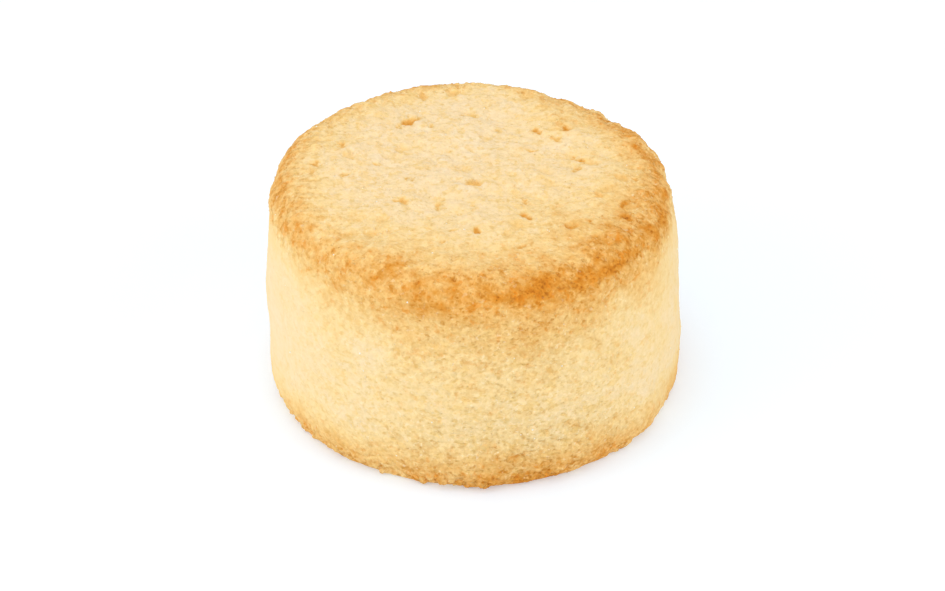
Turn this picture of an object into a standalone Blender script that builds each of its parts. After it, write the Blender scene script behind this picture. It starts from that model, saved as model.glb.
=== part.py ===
"""A macaroon: a small, tall, round biscuit of pale crumb, baked in a ring on a tray.

It is one piece. Its wall swells a little and leans in towards a rounded shoulder, its top is
nearly flat with a few open pits and one torn notch, and its foot spread into a thin crumbly lip
on the tray.

Units are metres, +Z is up, the front faces -Y, and the origin is at the middle of the base.
"""

import math

import bmesh
import bpy
import numpy as np

# --- Driving sizes ---------------------------------------------------------------------------
TOP_RADIUS = 0.0270  # where the wall would meet the top, had it no shoulder
BASE_RADIUS = 0.0285
HEIGHT = 0.0311
SHOULDER_RADIUS = 0.0042  # the rounding between top and wall
FOOT_RADIUS = 0.0018  # the rounding between wall and base

# --- How far the baked piece is from a true round --------------------------------------------
LEAN = -0.0222  # shift of the top towards +X, for each metre of height
SLANT = -0.81  # share by which the height changes, for each metre towards +X
BELLY = 0.023  # share by which the wall swells half way up
OVAL = 0.011  # share by which one way across is longer than the other
OVAL_TURN = math.radians(77)
LUMP_SIZE, LUMP_HEIGHT, LUMP_SEED = 0.0110, 0.00030, 32
CRUMB_SIZE, CRUMB_HEIGHT, CRUMB_SEED = 0.0038, 0.00018, 2
WALL_CRUMB = 0.35  # the ring left this share of the crumb's relief on the wall
RIM_HEIGHT, RIM_SEED = 0.00026, 3  # further crumb along the browned shoulder
RIM_TURN = math.radians(30)  # the direction, from +X, in which the shoulder is the most crumbly
LIP_REACH, LIP_HEIGHT = 0.00026, 0.0016  # the lip at the foot: how far out, and how far up
LIP_BREAK_SIZE, LIP_SEED = 0.0050, 5  # the length of the lip's crumbs and nicks

# --- The open pits of the top: x, y, length, width, turn from +X in degrees, depth ------------
TOP_PITS = (
    (-0.0085, 0.0132, 0.0044, 0.0017, 38, 0.00056),  # the torn notch near the far left rim
    (0.0004, -0.0026, 0.0036, 0.0013, 18, 0.00047),  # the crack near the middle
    (0.0088, 0.0113, 0.0019, 0.0013, -15, 0.00034),
    (0.0130, 0.0115, 0.0017, 0.0013, -40, 0.00043),
    (0.0145, 0.0045, 0.0024, 0.0014, 0, 0.00040),
    (0.0143, 0.0017, 0.0019, 0.0016, 20, 0.00031),
    (0.0074, -0.0107, 0.0028, 0.0012, -48, 0.00037),
    (0.0006, -0.0142, 0.0016, 0.0012, 40, 0.00037),
    (0.0204, -0.0098, 0.0019, 0.0017, 0, 0.00050),
    (0.0199, -0.0069, 0.0016, 0.0013, 70, 0.00037),
    (0.0038, 0.0112, 0.0015, 0.0012, -60, 0.00028),
    (-0.0176, 0.0060, 0.0020, 0.0013, -10, 0.00028),
    (-0.0090, -0.0075, 0.0028, 0.0018, 10, 0.00022),
    (-0.0210, 0.0012, 0.0016, 0.0012, -40, 0.00031),
    (-0.0041, -0.0079, 0.0017, 0.0012, 0, 0.00025),
    (0.0154, -0.0124, 0.0015, 0.0012, 30, 0.00028),
    (0.0167, -0.0054, 0.0016, 0.0013, 60, 0.00025),
    (0.0117, 0.0092, 0.0017, 0.0012, -40, 0.00022),
)
SCATTERED_PITS, SCATTERED_SEED = 26, 7  # smaller pits of the top
SCATTERED_RADIUS = (0.0009, 0.0015)
SCATTERED_DEPTH = (0.00020, 0.00040)

# --- The nicks low on the front of the wall: turn from +X in degrees, height, length, depth -----
WALL_NICKS = (
    (-80, 0.0052, 0.0022, 0.00045),
    (-79, 0.0019, 0.0020, 0.00050),
    (-65, 0.0092, 0.0018, 0.00035),
)
NICK_SLIMNESS = 0.55  # a nick's height as a share of its length

# --- How finely the surface is laid out --------------------------------------------------------
CAP_CELLS = 34  # squares across the top; four times as many go round the wall
SHOULDER_ROWS, WALL_ROWS, FOOT_ROWS = 5, 19, 3
PIT_MARGIN = 0.0007  # the finer squares reach this far past an open pit's ends

CRUMB_COLOUR = (0.90, 0.72, 0.42, 1.0)
CRUMB_ROUGHNESS = 0.85


def remove_everything():
    """Empties the scene."""
    for thing in list(bpy.data.objects):
        bpy.data.objects.remove(thing)


# --- The smooth body: a rounded drum ------------------------------------------------------------
def outline():
    """Radius and height of each ring below the cap, down the shoulder, the wall and the foot."""
    rings = []
    for row in range(1, SHOULDER_ROWS + 1):
        turn = math.pi / 2 * (1 - row / SHOULDER_ROWS)
        rings.append(
            (
                TOP_RADIUS - SHOULDER_RADIUS * (1 - math.cos(turn)),
                HEIGHT - SHOULDER_RADIUS * (1 - math.sin(turn)),
            )
        )
    wall_top, wall_foot = HEIGHT - SHOULDER_RADIUS, FOOT_RADIUS
    for row in range(1, WALL_ROWS + 1):
        down = row / WALL_ROWS
        rings.append(
            (
                TOP_RADIUS + (BASE_RADIUS - TOP_RADIUS) * down,
                wall_top + (wall_foot - wall_top) * down,
            )
        )
    for row in range(1, FOOT_ROWS + 1):
        turn = math.pi / 2 * row / FOOT_ROWS
        rings.append(
            (
                BASE_RADIUS - FOOT_RADIUS * (1 - math.cos(turn)),
                FOOT_RADIUS * (1 - math.sin(turn)),
            )
        )
    return rings


def disc_point(a, b):
    """The point of a round disc of radius 1 for the point a, b of a square of half side 1.

    Each square ring becomes a round one, with its points evenly spaced, so the cap has no pole.
    """
    if a == 0 and b == 0:
        return 0.0, 0.0
    if abs(a) >= abs(b):
        reach, turn = a, math.pi / 4 * b / a
    else:
        reach, turn = b, math.pi / 2 - math.pi / 4 * a / b
    return reach * math.cos(turn), reach * math.sin(turn)


def smooth_body():
    """The rounded drum: a square net spread over the cap, ring after ring down to a flat base."""
    body = bmesh.new()
    bmesh.ops.create_grid(body, x_segments=CAP_CELLS, y_segments=CAP_CELLS, size=1.0)
    cap_radius = TOP_RADIUS - SHOULDER_RADIUS
    for vert in body.verts:
        x, y = disc_point(vert.co.x, vert.co.y)
        vert.co = (x * cap_radius, y * cap_radius, HEIGHT)
    edge = [e for e in body.edges if e.is_boundary]
    for radius, height in outline():
        grown = bmesh.ops.extrude_edge_only(body, edges=edge)["geom"]
        edge = [e for e in grown if isinstance(e, bmesh.types.BMEdge) and e.is_boundary]
        for vert in {v for e in edge for v in e.verts}:
            scale = radius / math.hypot(vert.co.x, vert.co.y)
            vert.co = (vert.co.x * scale, vert.co.y * scale, height)
    bmesh.ops.contextual_create(body, geom=edge)
    bmesh.ops.recalc_face_normals(body, faces=body.faces)
    return body


def refine_round_pits(body):
    """Cuts the squares round each open pit into quarters, so that the pit keeps its form.

    The squares are then split along their shorter diagonal, which keeps flat ones from folding.
    """
    near = set()
    for x, y, length, _width, _turn, _depth in TOP_PITS:
        for edge in body.edges:
            middle = (edge.verts[0].co + edge.verts[1].co) / 2
            flat_distance = math.hypot(middle.x - x, middle.y - y)
            if middle.z > HEIGHT - SHOULDER_RADIUS / 2 and flat_distance < length / 2 + PIT_MARGIN:
                near.add(edge)
    bmesh.ops.subdivide_edges(body, edges=list(near), cuts=1, use_grid_fill=True)
    above_base = [f for f in body.faces if f.calc_center_median().z > 0]
    bmesh.ops.triangulate(body, faces=above_base, quad_method="SHORT_EDGE")


# --- The relief of the crumb --------------------------------------------------------------------
def outwards(points):
    """The way out at each point: away from the nearest point of a core drum inside the body."""
    around = np.hypot(points[:, 0], points[:, 1])
    core_radius = TOP_RADIUS - SHOULDER_RADIUS
    core_top = HEIGHT - SHOULDER_RADIUS
    reach = np.maximum(around - core_radius, 0)
    rise = np.maximum(points[:, 2] - core_top, 0)
    length = np.maximum(np.hypot(reach, rise), 1e-9)
    sideways = reach / length / np.maximum(around, 1e-9)
    return np.column_stack([points[:, 0] * sideways, points[:, 1] * sideways, rise / length])


def waves(points, size, seed, count=40):
    """Smooth random bumps about as far apart as size, mostly between -1 and 1.

    It is the sum of plane waves whose directions, lengths and starts are drawn from a seed.
    """
    draw = np.random.default_rng(seed)
    ways = draw.normal(size=(count, 3))
    ways /= np.linalg.norm(ways, axis=1, keepdims=True)
    lengths = size * draw.uniform(0.75, 1.35, count)
    starts = draw.uniform(0, 2 * math.pi, count)
    turns = points @ (ways * (2 * math.pi / lengths)[:, None]).T + starts
    return np.cos(turns).sum(axis=1) * 0.5 / math.sqrt(count / 2)


def clumps(points, size, seed):
    """Rounded clumps with creases between them, from about -0.5 to 1: waves folded at zero."""
    return 1.6 * np.abs(waves(points, size, seed)) - 0.5


def fade(values, start, end):
    """0 up to start, 1 from end on, and smooth between."""
    share = np.clip((values - start) / (end - start), 0, 1)
    return share * share * (3 - 2 * share)


def oval_pit(along, across, length, width, depth):
    """How far one oval pit sinks the surface at the distances along and across from its middle."""
    away = np.hypot(along / (length / 2), across / (width / 2))
    return depth * (1 - fade(away, 0.25, 1.25))


def pit_depths(points):
    """How far the pits of the top and the nicks of the wall sink the surface at each point."""
    sunk = np.zeros(len(points))
    on_top = points[:, 2] > HEIGHT - SHOULDER_RADIUS / 2
    for x, y, length, width, turn, depth in TOP_PITS:
        cos, sin = math.cos(math.radians(turn)), math.sin(math.radians(turn))
        along = (points[:, 0] - x) * cos + (points[:, 1] - y) * sin
        across = (points[:, 1] - y) * cos - (points[:, 0] - x) * sin
        sunk += on_top * oval_pit(along, across, length, width, depth)
    draw = np.random.default_rng(SCATTERED_SEED)
    for _ in range(SCATTERED_PITS):
        turn, reach = draw.uniform(0, 2 * math.pi), 0.85 * TOP_RADIUS * math.sqrt(draw.uniform())
        width, depth = 2 * draw.uniform(*SCATTERED_RADIUS), draw.uniform(*SCATTERED_DEPTH)
        along, across = points[:, 0] - reach * math.cos(turn), points[:, 1] - reach * math.sin(turn)
        sunk += on_top * oval_pit(along, across, width, width, depth)
    for turn, height, length, depth in WALL_NICKS:
        x, y = BASE_RADIUS * math.cos(math.radians(turn)), BASE_RADIUS * math.sin(math.radians(turn))
        along = np.hypot(points[:, 0] - x, points[:, 1] - y)
        sunk += oval_pit(along, points[:, 2] - height, length, NICK_SLIMNESS * length, depth)
    return sunk


def lip(points):
    """How far the lip at the foot stands out at each point; its edge is broken into crumbs."""
    up = points[:, 2]
    swell = fade(up, 0, 0.25 * LIP_HEIGHT) * (1 - fade(up, 0.4 * LIP_HEIGHT, 1.6 * LIP_HEIGHT))
    breaks = clumps(points, LIP_BREAK_SIZE, LIP_SEED)
    return LIP_REACH * swell * (0.35 + breaks)


def relief(points):
    """How far the baked surface stands out from the smooth body at each point."""
    off_wall = fade(points[:, 2], HEIGHT - 1.4 * SHOULDER_RADIUS, HEIGHT - 0.5 * SHOULDER_RADIUS)
    rim_reach = fade(np.hypot(points[:, 0], points[:, 1]), 0.8 * TOP_RADIUS, 0.9 * TOP_RADIUS)
    turn = np.arctan2(points[:, 1], points[:, 0])
    rim = off_wall * rim_reach * (0.25 + 0.75 * fade(np.cos(turn - RIM_TURN), 0, 1))
    height = LUMP_HEIGHT * waves(points, LUMP_SIZE, LUMP_SEED)
    crumb_share = WALL_CRUMB + (1 - WALL_CRUMB) * off_wall
    height += CRUMB_HEIGHT * crumb_share * clumps(points, CRUMB_SIZE, CRUMB_SEED)
    height += RIM_HEIGHT * rim * waves(points, CRUMB_SIZE, RIM_SEED)
    height -= pit_depths(points)
    above_base = fade(points[:, 2], 0, FOOT_RADIUS)
    return above_base * height + lip(points)


def settle(points):
    """The swelling wall, the oval, the slant and the lean of the baked piece."""
    turn = np.arctan2(points[:, 1], points[:, 0])
    stretch = 1 + OVAL * np.cos(2 * (turn - OVAL_TURN))
    stretch += BELLY * np.sin(math.pi * np.clip(points[:, 2] / HEIGHT, 0, 1))
    x, y = points[:, 0] * stretch, points[:, 1] * stretch
    height = points[:, 2] * (1 + SLANT * x)
    return np.column_stack([x + LEAN * height, y, height])


def stand_at_origin(points):
    """Moves the piece so that the middle of its box's underside is the origin."""
    low, high = points.min(axis=0), points.max(axis=0)
    return points - [(low[0] + high[0]) / 2, (low[1] + high[1]) / 2, low[2]]


# --- The object ------------------------------------------------------------------------------------
def crumb_material():
    """Pale baked crumb."""
    material = bpy.data.materials.new("crumb")
    material.use_nodes = True
    shader = material.node_tree.nodes["Principled BSDF"]
    shader.inputs["Base Color"].default_value = CRUMB_COLOUR
    shader.inputs["Roughness"].default_value = CRUMB_ROUGHNESS
    shader.inputs["Metallic"].default_value = 0.0
    return material


def macaroon():
    """The whole piece, as one closed solid."""
    body = smooth_body()
    refine_round_pits(body)
    mesh = bpy.data.meshes.new("macaroon")
    body.to_mesh(mesh)
    body.free()
    flat = np.empty(len(mesh.vertices) * 3, np.float32)
    mesh.vertices.foreach_get("co", flat)
    points = flat.reshape(-1, 3).astype(float)
    points += outwards(points) * relief(points)[:, None]
    points = stand_at_origin(settle(points))
    mesh.vertices.foreach_set("co", points.astype(np.float32).ravel())
    mesh.update()
    mesh.materials.append(crumb_material())
    mesh.shade_smooth()
    mesh.set_sharp_from_angle(angle=math.radians(60))
    piece = bpy.data.objects.new("macaroon", mesh)
    bpy.context.scene.collection.objects.link(piece)
    return piece


remove_everything()
macaroon()
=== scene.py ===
"""The looks of one macaroon: its baked crumb, the grains and crumbs on it, and a plain pale studio.

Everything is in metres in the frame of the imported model: +Z up, the front towards -Y, and the
middle of the underside at the origin.
"""

import math

import bmesh
import bpy
import numpy as np
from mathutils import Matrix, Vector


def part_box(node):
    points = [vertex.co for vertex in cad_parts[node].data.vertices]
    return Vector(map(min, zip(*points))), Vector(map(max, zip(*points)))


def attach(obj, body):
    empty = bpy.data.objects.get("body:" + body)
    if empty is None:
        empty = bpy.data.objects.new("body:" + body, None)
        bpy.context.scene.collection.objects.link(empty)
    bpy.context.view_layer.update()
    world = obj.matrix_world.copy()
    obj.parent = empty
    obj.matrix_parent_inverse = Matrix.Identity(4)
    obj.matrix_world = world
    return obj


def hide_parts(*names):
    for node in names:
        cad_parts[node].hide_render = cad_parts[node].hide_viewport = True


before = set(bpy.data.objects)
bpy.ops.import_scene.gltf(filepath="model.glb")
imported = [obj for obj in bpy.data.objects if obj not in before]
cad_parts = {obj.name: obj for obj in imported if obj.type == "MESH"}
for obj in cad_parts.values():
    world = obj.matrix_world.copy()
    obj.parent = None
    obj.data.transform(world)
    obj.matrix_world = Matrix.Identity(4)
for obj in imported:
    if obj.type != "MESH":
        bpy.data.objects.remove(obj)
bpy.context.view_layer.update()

# === The baked body =============================================================================
# One piece of almond, egg white and sugar dough, pressed into a steel ring and baked on a tray.
# Its pale wall took the ring's round form, its top dried to a fine open crumb, and its shoulder
# and foot browned first. The skin below is one closed surface whose relief is all in its points.
MM = 0.001
TOP_RADIUS = 27.0 * MM  # where the wall would meet the top, had it no shoulder
BASE_RADIUS = 28.5 * MM
HEIGHT = 31.1 * MM
SHOULDER_RADIUS = 4.2 * MM
FOOT_RADIUS = 1.8 * MM
LEAN = -0.0222  # shift of the top towards +X, for each metre of height
SLANT = -0.81  # share by which the height changes, for each metre towards +X
BELLY = 0.023  # share by which the wall swells half way up
OVAL, OVAL_TURN = 0.011, math.radians(77)
LUMP_SIZE, LUMP_HEIGHT, LUMP_SEED = 11.0 * MM, 0.30 * MM, 32
CLUMP_SIZE, CLUMP_HEIGHT, CLUMP_SEED = 3.8 * MM, 0.18 * MM, 2
WALL_SHARE = 0.35  # the ring left this share of the clumps' relief on the wall
RIM_HEIGHT, RIM_SEED = 0.26 * MM, 3
RIM_TURN = math.radians(30)  # the direction in which the shoulder is the most crumbly
LIP_REACH, LIP_HEIGHT = 0.26 * MM, 1.6 * MM  # the swell where the dough spread on the tray
LIP_BREAK_SIZE, LIP_SEED = 5.0 * MM, 5

# The open pits of the top: x, y, length, width, turn from +X in degrees, depth, in millimetres,
# and how much browner the pit is than the crumb round it.
TOP_PITS = (
    (-8.5, 13.2, 4.4, 1.7, 38, 0.56, 0.86),  # the torn notch near the far left rim
    (0.4, -2.6, 3.6, 1.3, 18, 0.47, 0.23),  # the crack near the middle
    (8.8, 11.3, 1.9, 1.3, -15, 0.34, 0.48),
    (13.0, 11.5, 1.7, 1.3, -40, 0.43, 0.78),
    (14.5, 4.5, 2.4, 1.4, 0, 0.40, 0.63),
    (14.3, 1.7, 1.9, 1.6, 20, 0.31, 0.43),
    (7.4, -10.7, 2.8, 1.2, -48, 0.37, 0.53),
    (0.6, -14.2, 1.6, 1.2, 40, 0.37, 0.78),
    (20.4, -9.8, 1.9, 1.7, 0, 0.50, 0.80),
    (19.9, -6.9, 1.6, 1.3, 70, 0.37, 0.70),
    (3.8, 11.2, 1.5, 1.2, -60, 0.28, 0.28),
    (-17.6, 6.0, 2.0, 1.3, -10, 0.28, 0.38),
    (-9.0, -7.5, 2.8, 1.8, 10, 0.22, 0.48),
    (-21.0, 1.2, 1.6, 1.2, -40, 0.31, 0.33),
    (-4.1, -7.9, 1.7, 1.2, 0, 0.25, 0.43),
    (15.4, -12.4, 1.5, 1.2, 30, 0.28, 0.53),
    (16.7, -5.4, 1.6, 1.3, 60, 0.25, 0.28),
    (11.7, 9.2, 1.7, 1.2, -40, 0.22, 0.43),
)
# Round pinpricks of the top, too small for the list above: x and y in millimetres.
PINPRICKS = (
    (-8.1, -2.5), (12.6, -13.0), (-10.0, 11.6), (-5.5, 11.8), (-2.3, -14.3), (7.1, -6.6), (0.4, 14.9),
    (-12.7, 1.7), (22.0, -1.2), (17.9, -12.8), (-16.7, -1.5), (7.8, 6.4), (15.8, -15.2), (-3.7, -17.0),
    (6.4, -18.0), (0.5, -8.2),
)
PINPRICK_WIDTH, PINPRICK_DEPTH, PINPRICK_STAIN = 1.1 * MM, 0.28 * MM, 0.36
SCATTERED_PITS, SCATTERED_SEED = 26, 7  # shallow pits anywhere on the top
SCATTERED_SPREAD = 0.85 * TOP_RADIUS
SCATTERED_RADIUS = (0.9 * MM, 1.5 * MM)
SCATTERED_DEPTH = (0.20 * MM, 0.40 * MM)
# The waves that tear the pits' edges, sideways and then front to back: size, reach and seed.
TORN_SIDEWAYS = ((1.5 * MM, 0.36 * MM, 41), (0.9 * MM, 0.24 * MM, 43))
TORN_BACKWARDS = ((1.5 * MM, 0.36 * MM, 42), (0.9 * MM, 0.24 * MM, 44))

# The nicks low on the wall: turn from +X in degrees, then height, length, depth in millimetres.
WALL_NICKS = ((-80, 5.2, 2.2, 0.45), (-79, 1.9, 2.0, 0.50), (-65, 9.2, 1.8, 0.35))
NICK_SLIMNESS = 0.55  # a nick's height as a share of its length

# How far the shoulder browned, by the direction from the middle: degrees from +X, how brown,
# then in millimetres how far down the outline its brownest line lies, and how far in over the
# top and down the wall from there the browning halves.
BROWNED_RIM = (
    (-165, 0.72, 0.3, 3.4, 3.2),
    (-150, 0.60, 0.4, 4.2, 3.1),
    (-135, 0.55, 0.9, 4.8, 4.6),
    (-120, 0.60, 1.1, 5.6, 6.0),
    (-105, 0.71, 1.1, 5.6, 5.6),
    (-90, 0.73, 1.3, 5.2, 5.0),
    (-75, 0.86, 1.2, 4.9, 5.3),
    (-60, 0.86, 1.2, 4.6, 4.8),
    (-45, 0.75, 0.8, 9.2, 4.2),
    (-30, 0.75, 0.9, 6.5, 4.5),
    (-15, 0.89, 0.8, 5.2, 3.3),
    (0, 0.76, 0.3, 4.8, 3.0),
    (15, 0.76, 0.0, 4.8, 2.4),
    (30, 0.64, 0.0, 5.2, 2.2),
    (45, 0.68, 0.0, 6.4, 2.2),
    (60, 0.74, 0.0, 6.0, 2.2),
    (75, 0.50, 0.0, 4.0, 2.2),
    (90, 0.64, 0.0, 3.4, 2.4),
    (105, 0.84, 0.0, 3.6, 2.6),
    (120, 0.66, 0.0, 3.7, 2.6),
    (150, 0.68, 0.0, 3.8, 2.6),
)
# Patches that the heat reached more, or less: turn in degrees, way down from the shoulder's
# middle, length around, and width in millimetres, and how much browner.
TOASTED_PATCHES = (
    (-73, 1.0, 9.5, 1.8, 0.36),
    (-50, 1.0, 10.0, 1.8, 0.30),
    (-33, 0.4, 8.0, 1.6, 0.24),
    (-13, 0.6, 6.0, 1.8, 0.30),
    (-4, 0.2, 3.0, 1.2, 0.20),
    (-27, 1.0, 5.0, 3.0, 0.12),
    (-113, -1.8, 3.0, 2.4, 0.25),
    (-96, -1.2, 2.6, 0.9, 0.30),
    (-26, -4.0, 2.4, 0.9, 0.28),
    (-20, -4.9, 2.4, 0.9, 0.25),
    (-47, -3.8, 3.0, 1.2, 0.22),
    (22, -1.7, 12.0, 2.0, 0.22),
    (-97, 2.4, 3.0, 1.6, 0.12),
    (-63, 21.4, 1.8, 1.4, 0.25),
    (45, -9.0, 3.0, 2.6, 0.22),
    (-15, 15.0, 3.0, 3.0, 0.20),
    (-118, 10.5, 8.0, 6.0, -0.20),
)

CAP_CELLS = 138  # cells across the cap; four times as many go round the wall
SHOULDER_ROWS, WALL_ROWS, FOOT_ROWS = 21, 82, 6


def fade(values, start, end):
    """0 up to start, 1 from end on, and the smooth cubic 3s^2 - 2s^3 between."""
    share = np.clip((values - start) / (end - start), 0, 1)
    return share * share * (3 - 2 * share)


def waves(points, size, seed, count=40):
    """Smooth random bumps about size apart: the sum of cosines of plane waves whose directions,
    lengths (0.75 to 1.35 sizes) and starts are drawn from the seed, mostly between -1 and 1."""
    draw = np.random.default_rng(seed)
    ways = draw.normal(size=(count, 3))
    ways /= np.linalg.norm(ways, axis=1, keepdims=True)
    lengths = size * draw.uniform(0.75, 1.35, count)
    starts = draw.uniform(0, 2 * math.pi, count)
    turns = points @ (ways * (2 * math.pi / lengths)[:, None]).T + starts
    return np.cos(turns).sum(axis=1) * 0.5 / math.sqrt(count / 2)


def wave_sum(points, parts):
    """The sum of several waves, each given as its size, its height and its seed."""
    return sum(height * waves(points, size, seed) for size, height, seed in parts)


def clumps(points, size, seed):
    """Rounded clumps with creases between them: 1.6 times the size of the waves, less a half."""
    return 1.6 * np.abs(waves(points, size, seed)) - 0.5


def cells(points, size, seed):
    """Distances, in sizes, to the nearest and the second nearest of scattered seeds, and the
    nearest seed's own number from 0 to 1. Each cube of a lattice holds one seed, whose place in
    it and number come from a shuffled table by the cube's three whole numbers."""
    draw = np.random.default_rng(seed)
    table = draw.random((4096, 4))
    lattice = np.floor(points / size).astype(np.int64)
    nearest = np.full(len(points), 9.0)
    second = np.full(len(points), 9.0)
    own = np.zeros(len(points))
    for step in np.ndindex(3, 3, 3):
        cube = lattice + np.array(step) - 1
        line = (cube[:, 0] * 73856093) ^ (cube[:, 1] * 19349663) ^ (cube[:, 2] * 83492791)
        entry = table[line & 4095]
        away = np.linalg.norm(points / size - cube - entry[:, :3], axis=1)
        closer = away < nearest
        second = np.where(closer, nearest, np.minimum(second, away))
        nearest = np.where(closer, away, nearest)
        own = np.where(closer, entry[:, 3], own)
    return nearest, second, own


def disc_net(count):
    """A square net of side 2 pressed into a disc of radius 1: a point on the square ring at
    distance q from the middle goes to the circle of radius q, turned by 45 degrees times its
    place along that side of the ring, so the net has no pole."""
    a, b = np.meshgrid(*[np.linspace(-1, 1, count + 1)] * 2, indexing="ij")
    wide = abs(a) >= abs(b)
    reach = np.where(wide, a, b)
    side = np.where(wide, b, a) / np.where(reach == 0, 1, reach)
    turn = np.where(wide, math.pi / 4 * side, math.pi / 2 - math.pi / 4 * side)
    return reach * np.cos(turn), reach * np.sin(turn)


def outline_rings():
    """Radius and height of each ring below the cap: a quarter circle down the shoulder, a
    straight wall, and a quarter circle in at the foot."""
    down = np.linspace(0, 1, SHOULDER_ROWS + 1)[1:] * math.pi / 2
    shoulder = np.column_stack([
        TOP_RADIUS - SHOULDER_RADIUS * (1 - np.sin(down)),
        HEIGHT - SHOULDER_RADIUS * (1 - np.cos(down)),
    ])
    down = np.linspace(0, 1, WALL_ROWS + 1)[1:]
    wall = np.column_stack([
        TOP_RADIUS + (BASE_RADIUS - TOP_RADIUS) * down,
        HEIGHT - SHOULDER_RADIUS + (FOOT_RADIUS - HEIGHT + SHOULDER_RADIUS) * down,
    ])
    turn = np.linspace(0, 1, FOOT_ROWS + 1)[1:] * math.pi / 2
    foot = np.column_stack([
        BASE_RADIUS - FOOT_RADIUS * (1 - np.cos(turn)),
        FOOT_RADIUS * (1 - np.sin(turn)),
    ])
    return np.concatenate([shoulder, wall, foot])


def net_triangles(net, first_to_third):
    """Two triangles for each cell of a net of point numbers, cut from the cell's first corner to
    its third where first_to_third is true, and from its second to its fourth elsewhere."""
    p, q, r, s = net[:-1, :-1], net[1:, :-1], net[1:, 1:], net[:-1, 1:]
    chosen = first_to_third[..., None]
    one = np.where(chosen, np.stack([p, q, r], -1), np.stack([p, q, s], -1))
    two = np.where(chosen, np.stack([p, r, s], -1), np.stack([q, r, s], -1))
    return np.concatenate([one.reshape(-1, 3), two.reshape(-1, 3)])


def drum_skin():
    """Points and triangles of the smooth closed drum: a disc net for the cap, rings of
    4 CAP_CELLS points down the side, and a disc net for the underside."""
    across = CAP_CELLS + 1
    x, y = disc_net(CAP_CELLS)
    cap_radius = TOP_RADIUS - SHOULDER_RADIUS
    cap = np.stack([x * cap_radius, y * cap_radius, np.full_like(x, HEIGHT)], -1).reshape(-1, 3)
    net = np.arange(across * across).reshape(across, across)
    rim = np.concatenate([net[-1, :-1], net[:0:-1, -1], net[0, :0:-1], net[:-1, 0]])
    around = len(rim)
    ways = cap[rim, :2] / cap_radius
    rings = outline_rings()
    side = np.empty((len(rings), around, 3))
    side[..., :2] = ways * rings[:, None, :1]
    side[..., 2] = rings[:, 1:]
    side_net = len(cap) + np.arange(len(rings) * around).reshape(len(rings), around)
    base_radius = rings[-1, 0]
    base = np.stack([x * base_radius, y * base_radius, np.zeros_like(x)], -1)[1:-1, 1:-1]
    base_net = np.empty_like(net)
    base_net[1:-1, 1:-1] = side_net[-1, -1] + 1 + np.arange((across - 2) ** 2).reshape(across - 2, -1)
    base_net.flat[rim] = side_net[-1]
    points = np.concatenate([cap, side.reshape(-1, 3), base.reshape(-1, 3)])
    wrapped = np.concatenate([rim[None], side_net])
    wrapped = np.concatenate([wrapped, wrapped[:, :1]], axis=1)
    middles = np.arange(CAP_CELLS) - (CAP_CELLS - 1) / 2
    outer_kink = np.multiply.outer(middles, middles) > 0
    rows, columns = np.indices((len(rings), around))
    triangles = np.concatenate([
        net_triangles(net, outer_kink),
        net_triangles(wrapped, (rows + columns) % 2 == 0),
        net_triangles(base_net, outer_kink)[:, ::-1],
    ])
    return points, triangles


def outwards(points):
    """The way out at each point: away from the nearest point of a core drum inside the body."""
    around = np.hypot(points[:, 0], points[:, 1])
    reach = np.maximum(around - (TOP_RADIUS - SHOULDER_RADIUS), 0)
    rise = np.maximum(points[:, 2] - (HEIGHT - SHOULDER_RADIUS), 0)
    length = np.maximum(np.hypot(reach, rise), 1e-9)
    sideways = reach / length / np.maximum(around, 1e-9)
    return np.column_stack([points[:, 0] * sideways, points[:, 1] * sideways, rise / length])


def way_down(points):
    """How far each point lies along the outline from the middle of the shoulder, in millimetres:
    less than 0 in over the top, more than 0 down the wall."""
    around = np.hypot(points[:, 0], points[:, 1])
    reach = around - (TOP_RADIUS - SHOULDER_RADIUS)
    rise = points[:, 2] - (HEIGHT - SHOULDER_RADIUS)
    half_arc = SHOULDER_RADIUS * math.pi / 4
    on_shoulder = SHOULDER_RADIUS * np.arctan2(reach, rise) - half_arc
    down = np.where(rise > 0, np.where(reach > 0, on_shoulder, reach - half_arc), half_arc - rise)
    return down / MM


def oval_pit(along, across, length, width):
    """1 on the floor of one oval pit, falling smoothly to 0 between 0.35 and 1.15 of the way to
    its edge. The way is the root of the squares of the distances along and across, each as a
    share of half the length or half the width."""
    away = np.hypot(along / (length / 2), across / (width / 2))
    return 1 - fade(away, 0.35, 1.15)


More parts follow.
